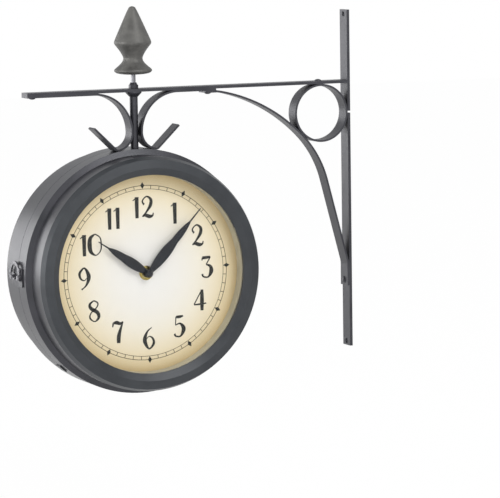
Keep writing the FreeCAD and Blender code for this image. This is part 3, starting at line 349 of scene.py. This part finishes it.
# Figures on a page of height 1: strokes of points (x, y, width), each made a smooth ribbon.
FIGURES = {
    "0": (0.66, [[(0.33, 1.0, 0.05), (0.1, 0.82, 0.15), (0.05, 0.5, 0.19), (0.1, 0.18, 0.15),
                  (0.33, 0, 0.05), (0.56, 0.18, 0.05), (0.61, 0.5, 0.06), (0.56, 0.82, 0.05),
                  (0.33, 1.0, 0.05)]]),
    "1": (0.3, [[(0.2, 1.0, 0.17), (0.19, 0.6, 0.16), (0.18, 0.0, 0.14)],
                [(0.0, 0.84, 0.04), (0.2, 0.97, 0.06)]]),
    "2": (0.6, [[(0.1, 0.66, 0.08), (0.08, 0.82, 0.06), (0.28, 0.99, 0.06), (0.48, 0.84, 0.12),
                 (0.46, 0.58, 0.14), (0.26, 0.28, 0.08), (0.06, 0.06, 0.05)],
                [(0.04, 0.05, 0.05), (0.18, 0.12, 0.13), (0.38, 0.04, 0.15), (0.54, 0.07, 0.08),
                 (0.58, 0.2, 0.04)],
                [(0.1, 0.66, 0.1), (0.16, 0.63, 0.08)]]),
    "3": (0.56, [[(0.06, 0.82, 0.04), (0.08, 0.96, 0.06)],
                 [(0.08, 0.95, 0.12), (0.28, 0.95, 0.12), (0.48, 0.97, 0.08)],
                 [(0.48, 0.96, 0.05), (0.26, 0.62, 0.05)],
                 [(0.26, 0.62, 0.05), (0.46, 0.52, 0.12), (0.5, 0.28, 0.18), (0.34, 0.02, 0.07),
                  (0.1, 0.05, 0.07), (0.05, 0.18, 0.09)]]),
    "4": (0.66, [[(0.44, 0.98, 0.05), (0.24, 0.66, 0.05), (0.03, 0.32, 0.05)],
                 [(0.03, 0.3, 0.05), (0.3, 0.31, 0.07), (0.64, 0.33, 0.05)],
                 [(0.45, 1.0, 0.12), (0.43, 0.5, 0.17), (0.41, 0.0, 0.13)]]),
    "5": (0.58, [[(0.16, 0.95, 0.1), (0.34, 0.95, 0.12), (0.52, 0.98, 0.06)],
                 [(0.16, 0.96, 0.05), (0.12, 0.56, 0.04)],
                 [(0.12, 0.57, 0.04), (0.36, 0.62, 0.08), (0.52, 0.36, 0.18), (0.36, 0.03, 0.08),
                  (0.12, 0.04, 0.07), (0.06, 0.16, 0.09)]]),
    "6": (0.6, [[(0.46, 1.0, 0.03), (0.22, 0.8, 0.08), (0.09, 0.4, 0.17), (0.28, 0.0, 0.07), (0.52, 0.22, 0.11),
                 (0.48, 0.48, 0.08), (0.3, 0.58, 0.04), (0.14, 0.42, 0.03)]]),
    "7": (0.58, [[(0.04, 0.78, 0.05), (0.08, 0.96, 0.08)],
                 [(0.06, 0.96, 0.06), (0.24, 0.98, 0.15), (0.42, 0.92, 0.11), (0.56, 1.0, 0.05)],
                 [(0.55, 0.98, 0.05), (0.4, 0.6, 0.12), (0.32, 0.3, 0.17), (0.3, 0.0, 0.15)]]),
    "8": (0.6, [[(0.3, 0.99, 0.05), (0.1, 0.84, 0.1), (0.14, 0.64, 0.14), (0.44, 0.42, 0.15),
                 (0.5, 0.18, 0.12), (0.3, 0.0, 0.05), (0.08, 0.18, 0.07), (0.14, 0.42, 0.05),
                 (0.42, 0.66, 0.05), (0.48, 0.86, 0.06), (0.3, 0.99, 0.05)]]),
    "9": (0.6, [[(0.14, 0.0, 0.03), (0.38, 0.2, 0.08), (0.51, 0.6, 0.17), (0.32, 1.0, 0.07), (0.08, 0.78, 0.11),
                 (0.12, 0.52, 0.08), (0.3, 0.42, 0.04), (0.46, 0.58, 0.03)],
                [(0.14, 0.0, 0.08), (0.2, 0.04, 0.06)]]),
    "-": (0.4, [[(0.02, 0.45, 0.15), (0.36, 0.45, 0.15)]]),
    "C": (0.76, [[(0.7, 0.74, 0.1), (0.6, 0.94, 0.07), (0.4, 1.0, 0.06), (0.12, 0.76, 0.13), (0.08, 0.44, 0.15),
                  (0.2, 0.1, 0.11), (0.44, 0.0, 0.06), (0.62, 0.06, 0.05), (0.72, 0.24, 0.05)]]),
    "F": (0.62, [[(0.14, 1.0, 0.14), (0.14, 0.0, 0.14)],
                 [(0.02, 0.97, 0.06), (0.58, 0.97, 0.06), (0.6, 0.78, 0.05)],
                 [(0.14, 0.52, 0.06), (0.44, 0.52, 0.06)],
                 [(0.02, 0.02, 0.05), (0.28, 0.02, 0.05)]]),
    "o": (0.34, [[(0.16, 1.0, 0.06), (0.05, 0.9, 0.06), (0.16, 0.78, 0.06), (0.27, 0.9, 0.06),
                  (0.16, 1.0, 0.06)]]),
}
# Shares of the figure's height.
LETTER_GAP = 0.1
STROKE_WEIGHT = 1.18
CURVE_STEPS = 8

# Heights over the dial. Strokes that cross lie one layer apart.
FINE_LIFT = 0.05 * MM
BOLD_LIFT = 0.09 * MM
LAYER = 0.005 * MM

# Clock print, in mm and degrees.
CLOCK_TURN = -1.6
TRACK_OUTER, TRACK_INNER = 87.0, 83.4
HOUR_RADIUS, HOUR_HEIGHT, HOUR_STRETCH = 65.5, 21.0, 1.04

# Thermometer print, in mm and degrees: Celsius outside, Fahrenheit on the inner arc.
TURN_PER_DEGREE = 3
SCALE_RADIUS, SCALE_LABEL_RADIUS, SCALE_LABEL_HEIGHT = 77.0, 87.5, 8.0
ARC_RADIUS, ARC_LABEL_RADIUS, ARC_LABEL_HEIGHT = 44.0, 36, 5.4
ARC_END, ARC_FIRST_LABEL, ARC_LABEL_STEP = 140, -132, 29.3
SCALE_STRETCH = 0.9


class Print:
    """Flat print in front of a dial: u to the right and v up, in mm from the dial's centre."""

    def __init__(self, face_y, side, lift, turn=0.0):
        self.face_y = face_y + side * lift
        self.side = side
        self.layer = 0
        self.sine, self.cosine = math.sin(math.radians(turn)), math.cos(math.radians(turn))
        self.build = bmesh.new()

    def corner(self, u, v):
        u, v = u * self.cosine + v * self.sine, v * self.cosine - u * self.sine
        x = AXIS.x - self.side * u * MM
        return self.build.verts.new((x, self.face_y + self.side * self.layer * LAYER, AXIS.z + v * MM))

    def polygon(self, points):
        self.build.faces.new([self.corner(u, v) for u, v in points])

    def ribbon(self, line):
        """Band along a line of (u, v, width)."""
        pairs = []
        for index, (u, v, width) in enumerate(line):
            before, after = line[max(index - 1, 0)], line[min(index + 1, len(line) - 1)]
            along = Vector((after[0] - before[0], after[1] - before[1])).normalized()
            across = Vector((-along.y, along.x)) * width / 2
            pairs.append((self.corner(u + across.x, v + across.y), self.corner(u - across.x, v - across.y)))
        for (a, b), (c, d) in zip(pairs, pairs[1:]):
            self.build.faces.new((a, b, d, c))

    def ring(self, radius, width, first=0.0, last=360.0):
        steps = max(int((last - first) * 0.5), 2)
        line = []
        for i in range(steps + 1):
            angle = math.radians(first + (last - first) * i / steps)
            line.append((radius * math.sin(angle), radius * math.cos(angle), width))
        self.ribbon(line)

    def tick(self, angle, near, far, width):
        """Radial line at an angle clockwise from the top."""
        s, c = math.sin(math.radians(angle)), math.cos(math.radians(angle))
        self.layer = 1
        self.ribbon([(near * s, near * c, width), (far * s, far * c, width)])

    def diamond(self, angle, radius, length, width):
        s, c = math.sin(math.radians(angle)), math.cos(math.radians(angle))
        shape = [(0, length / 2), (width / 2, 0), (0, -length / 2), (-width / 2, 0)]
        self.polygon([(x * c + (radius + y) * s, -x * s + (radius + y) * c) for x, y in shape])

    def text(self, words, u, v, height, narrow=1.0):
        """Upright figures centred on (u, v)."""
        total = sum(FIGURES[c][0] for c in words) + LETTER_GAP * (len(words) - 1)
        left = u - total * height * narrow / 2
        for letter in words:
            advance, strokes = FIGURES[letter]
            for self.layer, stroke in enumerate(strokes):
                line = through(stroke, CURVE_STEPS) if len(stroke) > 2 else stroke
                self.ribbon([
                    (left + x * height * narrow, v + (y - 0.5) * height, width * height * STROKE_WEIGHT)
                    for x, y, width in line
                ])
            left += (advance + LETTER_GAP) * height * narrow

    def label(self, number, angle, radius, height):
        """Upright number at an angle clockwise from the top."""
        turn = math.radians(angle)
        self.text(str(number), radius * math.sin(turn), radius * math.cos(turn), height, SCALE_STRETCH)

    def done(self, name, body, material):
        mesh = bpy.data.meshes.new(name)
        self.build.to_mesh(mesh)
        self.build.free()
        return add_mesh(name, mesh, body, material)


def clock_print():
    fine = Print(CLOCK_FACE_Y, -1, FINE_LIFT, CLOCK_TURN)
    fine.ring(TRACK_OUTER, 0.6)
    fine.ring(TRACK_INNER, 0.5)
    for minute in range(60):
        if minute % 5:
            fine.tick(6 * minute, TRACK_INNER, TRACK_OUTER, 0.65)
    fine.done("minute_track", ROOT, FINE_INK)
    bold = Print(CLOCK_FACE_Y, -1, BOLD_LIFT, CLOCK_TURN)
    for hour in range(1, 13):
        angle = math.radians(30 * hour)
        bold.diamond(30 * hour, TRACK_OUTER, 7.0, 4.2)
        bold.text(
            str(hour), HOUR_RADIUS * math.sin(angle), HOUR_RADIUS * math.cos(angle), HOUR_HEIGHT, HOUR_STRETCH
        )
    bold.done("hour_figures", ROOT, INK)


def thermometer_print():
    fine = Print(THERMOMETER_FACE_Y, 1, FINE_LIFT)
    for degree in range(-50, 51):
        length = 4.6 if degree % 10 == 0 else 3.6 if degree % 5 == 0 else 2.6
        fine.tick(TURN_PER_DEGREE * degree, SCALE_RADIUS, SCALE_RADIUS + length, 0.6)
    fine.ring(ARC_RADIUS, 0.7, -ARC_END, ARC_END)
    fine.done("degree_track", DOOR, FINE_INK)
    bold = Print(THERMOMETER_FACE_Y, 1, BOLD_LIFT)
    for degree in range(-50, 51, 10):
        bold.label(degree, TURN_PER_DEGREE * degree, SCALE_LABEL_RADIUS, SCALE_LABEL_HEIGHT)
    for step, degree in enumerate(range(-60, 121, 20)):
        bold.label(degree, ARC_FIRST_LABEL + ARC_LABEL_STEP * step, ARC_LABEL_RADIUS, ARC_LABEL_HEIGHT)
    bold.text("oF", 0, -42, 6.0)
    bold.text("oC", 0, -72, 9.0)
    bold.done("degree_figures", DOOR, INK)


clock_print()
thermometer_print()

# ---------------------------------------------------------------- smooth turned forms


def smooth_finial():
    """Finial with the rounded foot, hollow neck and round shoulder of the casting."""
    low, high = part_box("finial")
    height = high[2] - low[2]
    radius = (high[0] - low[0]) / 2
    shares = [
        (0.13, 0.0), (0.55, 0.004), (0.86, 0.02), (0.99, 0.045), (1.0, 0.065), (0.95, 0.085), (0.78, 0.125),
        (0.6, 0.175), (0.52, 0.22), (0.53, 0.26), (0.66, 0.33), (0.84, 0.4), (0.965, 0.445), (0.985, 0.475),
        (0.93, 0.52), (0.74, 0.64), (0.5, 0.79), (0.3, 0.91), (0.215, 0.955), (0.15, 0.985), (0.0, 1.0),
    ]
    profile = [(max(r, 0) * radius, h * height) for r, h in through(shares, 5)]
    profile = [(0.0, 0.0)] + profile[:-1] + [(0.0, height)]
    piece = turned(
        "finial_casting", profile, (middle("finial").x, 0, low[2]), (0, 0, 1), ROOT, CAST, 72
    )
    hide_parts("finial")


def round_heads():
    """Domed rivet heads where the strips meet."""
    radius, rise = 3.5 * MM, 1.8 * MM
    strip = 2 * MM
    scroll_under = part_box("scroll_left")[1][2] - strip
    arm_low, arm_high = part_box("arm_bar")
    brace_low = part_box("brace_bar")[0]
    plate_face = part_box("wall_plate")[0][0]
    seats = [
        ((arm_low[0] + 8 * MM, 0, scroll_under), (0, 0, -1)),
        ((brace_low[0] + 6 * MM, 0, scroll_under - strip), (0, 0, -1)),
        ((middle("corner_ring").x, 0, arm_high[2]), (0, 0, 1)),
        ((plate_face - strip, 0, brace_low[2] + 5.5 * MM), (-1, 0, 0)),
    ]
    profile = [(0.0, 0.0), (radius, 0.0)] + dome_profile(radius, rise)[1:-1] + [(0.0, rise)]
    heads = [
        turned(f"rivet_dome_{index}", profile, place, direction, ROOT, BAR_PAINT, 32)
        for index, (place, direction) in enumerate(seats)
    ]
    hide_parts("rivet_heads")


smooth_finial()
round_heads()

# ---------------------------------------------------------------- light, floor and camera


def area_light(name, place, aim, size, power):
    lamp = bpy.data.lights.new(name, "AREA")
    lamp.shape = "RECTANGLE"
    lamp.size, lamp.size_y = size
    lamp.energy = power
    obj = bpy.data.objects.new(name, lamp)
    obj.location = place
    obj.rotation_euler = (Vector(aim) - Vector(place)).to_track_quat("-Z", "Y").to_euler()
    bpy.context.collection.objects.link(obj)


def seen_share(tree, strength, mirrors):
    """The given strength for camera and glass rays, and for mirror rays if asked; none for other light."""
    nodes, links = tree.nodes, tree.links
    path = nodes.new("ShaderNodeLightPath")
    either = nodes.new("ShaderNodeMath")
    either.operation = "MAXIMUM"
    every = nodes.new("ShaderNodeMath")
    every.operation = "MAXIMUM"
    links.new(path.outputs["Is Camera Ray"], either.inputs[0])
    links.new(path.outputs["Is Transmission Ray"], either.inputs[1])
    links.new(either.outputs["Value"], every.inputs[0])
    if mirrors:
        links.new(path.outputs["Is Glossy Ray"], every.inputs[1])
    share = nodes.new("ShaderNodeMath")
    share.operation = "MULTIPLY"
    share.inputs[1].default_value = strength
    links.new(every.outputs["Value"], share.inputs[0])
    return share.outputs["Value"]


def world_light():
    """Pale room light behind a white background."""
    world = bpy.data.worlds.new("studio")
    bpy.context.scene.world = world
    world.use_nodes = True
    nodes, links = world.node_tree.nodes, world.node_tree.links
    nodes.clear()
    room = nodes.new("ShaderNodeBackground")
    room.inputs["Color"].default_value = (0.95, 0.97, 1.0, 1)
    room.inputs["Strength"].default_value = 0.55
    white = nodes.new("ShaderNodeBackground")
    white.inputs["Color"].default_value = (1, 1, 1, 1)
    white.inputs["Strength"].default_value = 1.0
    mix = nodes.new("ShaderNodeMixShader")
    links.new(seen_share(world.node_tree, 1.0, False), mix.inputs["Fac"])
    links.new(room.outputs["Background"], mix.inputs[1])
    links.new(white.outputs["Background"], mix.inputs[2])
    output = nodes.new("ShaderNodeOutputWorld")
    links.new(mix.outputs["Shader"], output.inputs["Surface"])


FLOOR_WHITE = 0.97
FLOOR_DROP = 0.12


def floor():
    """Pale floor well under the hanging clock; most of its white is its own."""
    mesh = bpy.data.meshes.new("floor")
    reach, level = 6.0, CAD_BOX[0][2] - FLOOR_DROP
    mesh.from_pydata(
        [(-reach, -reach, level), (reach, -reach, level), (reach, reach, level), (-reach, reach, level)],
        [],
        [(0, 1, 2, 3)],
    )
    obj = bpy.data.objects.new("floor", mesh)
    bpy.context.collection.objects.link(obj)
    material, nodes, links, shader = new_material("pale_floor")
    shader.inputs["Base Color"].default_value = (0.9, 0.9, 0.9, 1)
    shader.inputs["Roughness"].default_value = 0.9
    glow = nodes.new("ShaderNodeEmission")
    mix = nodes.new("ShaderNodeMixShader")
    links.new(seen_share(material.node_tree, FLOOR_WHITE, True), mix.inputs["Fac"])
    links.new(shader.outputs["BSDF"], mix.inputs[1])
    links.new(glow.outputs["Emission"], mix.inputs[2])
    links.new(mix.outputs["Shader"], nodes["Material Output"].inputs["Surface"])
    mesh.materials.append(material)


def camera():
    """Long lens to the left of the clock and a little above it."""
    lens = bpy.data.cameras.new("camera")
    lens.sensor_width = 36
    lens.lens = 225.3
    obj = bpy.data.objects.new("camera", lens)
    matrix = Matrix((
        (0.91068547, 0.06032133, -0.40867263, -1.40652149),
        (-0.41284891, 0.09838056, -0.90547062, -2.87075968),
        (-0.01441376, 0.99331898, 0.11449734, 0.29635314),
        (0, 0, 0, 1),
    ))
    obj.matrix_world = matrix
    bpy.context.collection.objects.link(obj)
    bpy.context.scene.camera = obj


world_light()
floor()
camera()
area_light("key", (0.4, -2.1, 1.7), AXIS, (1.4, 1.4), 31)
area_light("side", (-2.6, 0.1, 0.15), AXIS, (1.0, 1.6), 40)
area_light("fill", (-0.9, -2.2, -0.3), AXIS, (1.4, 1.4), 9)
area_light("back", (-1.7, 2.3, -0.1), AXIS, (1.4, 1.6), 24)
bpy.context.scene.view_settings.view_transform = "Standard"
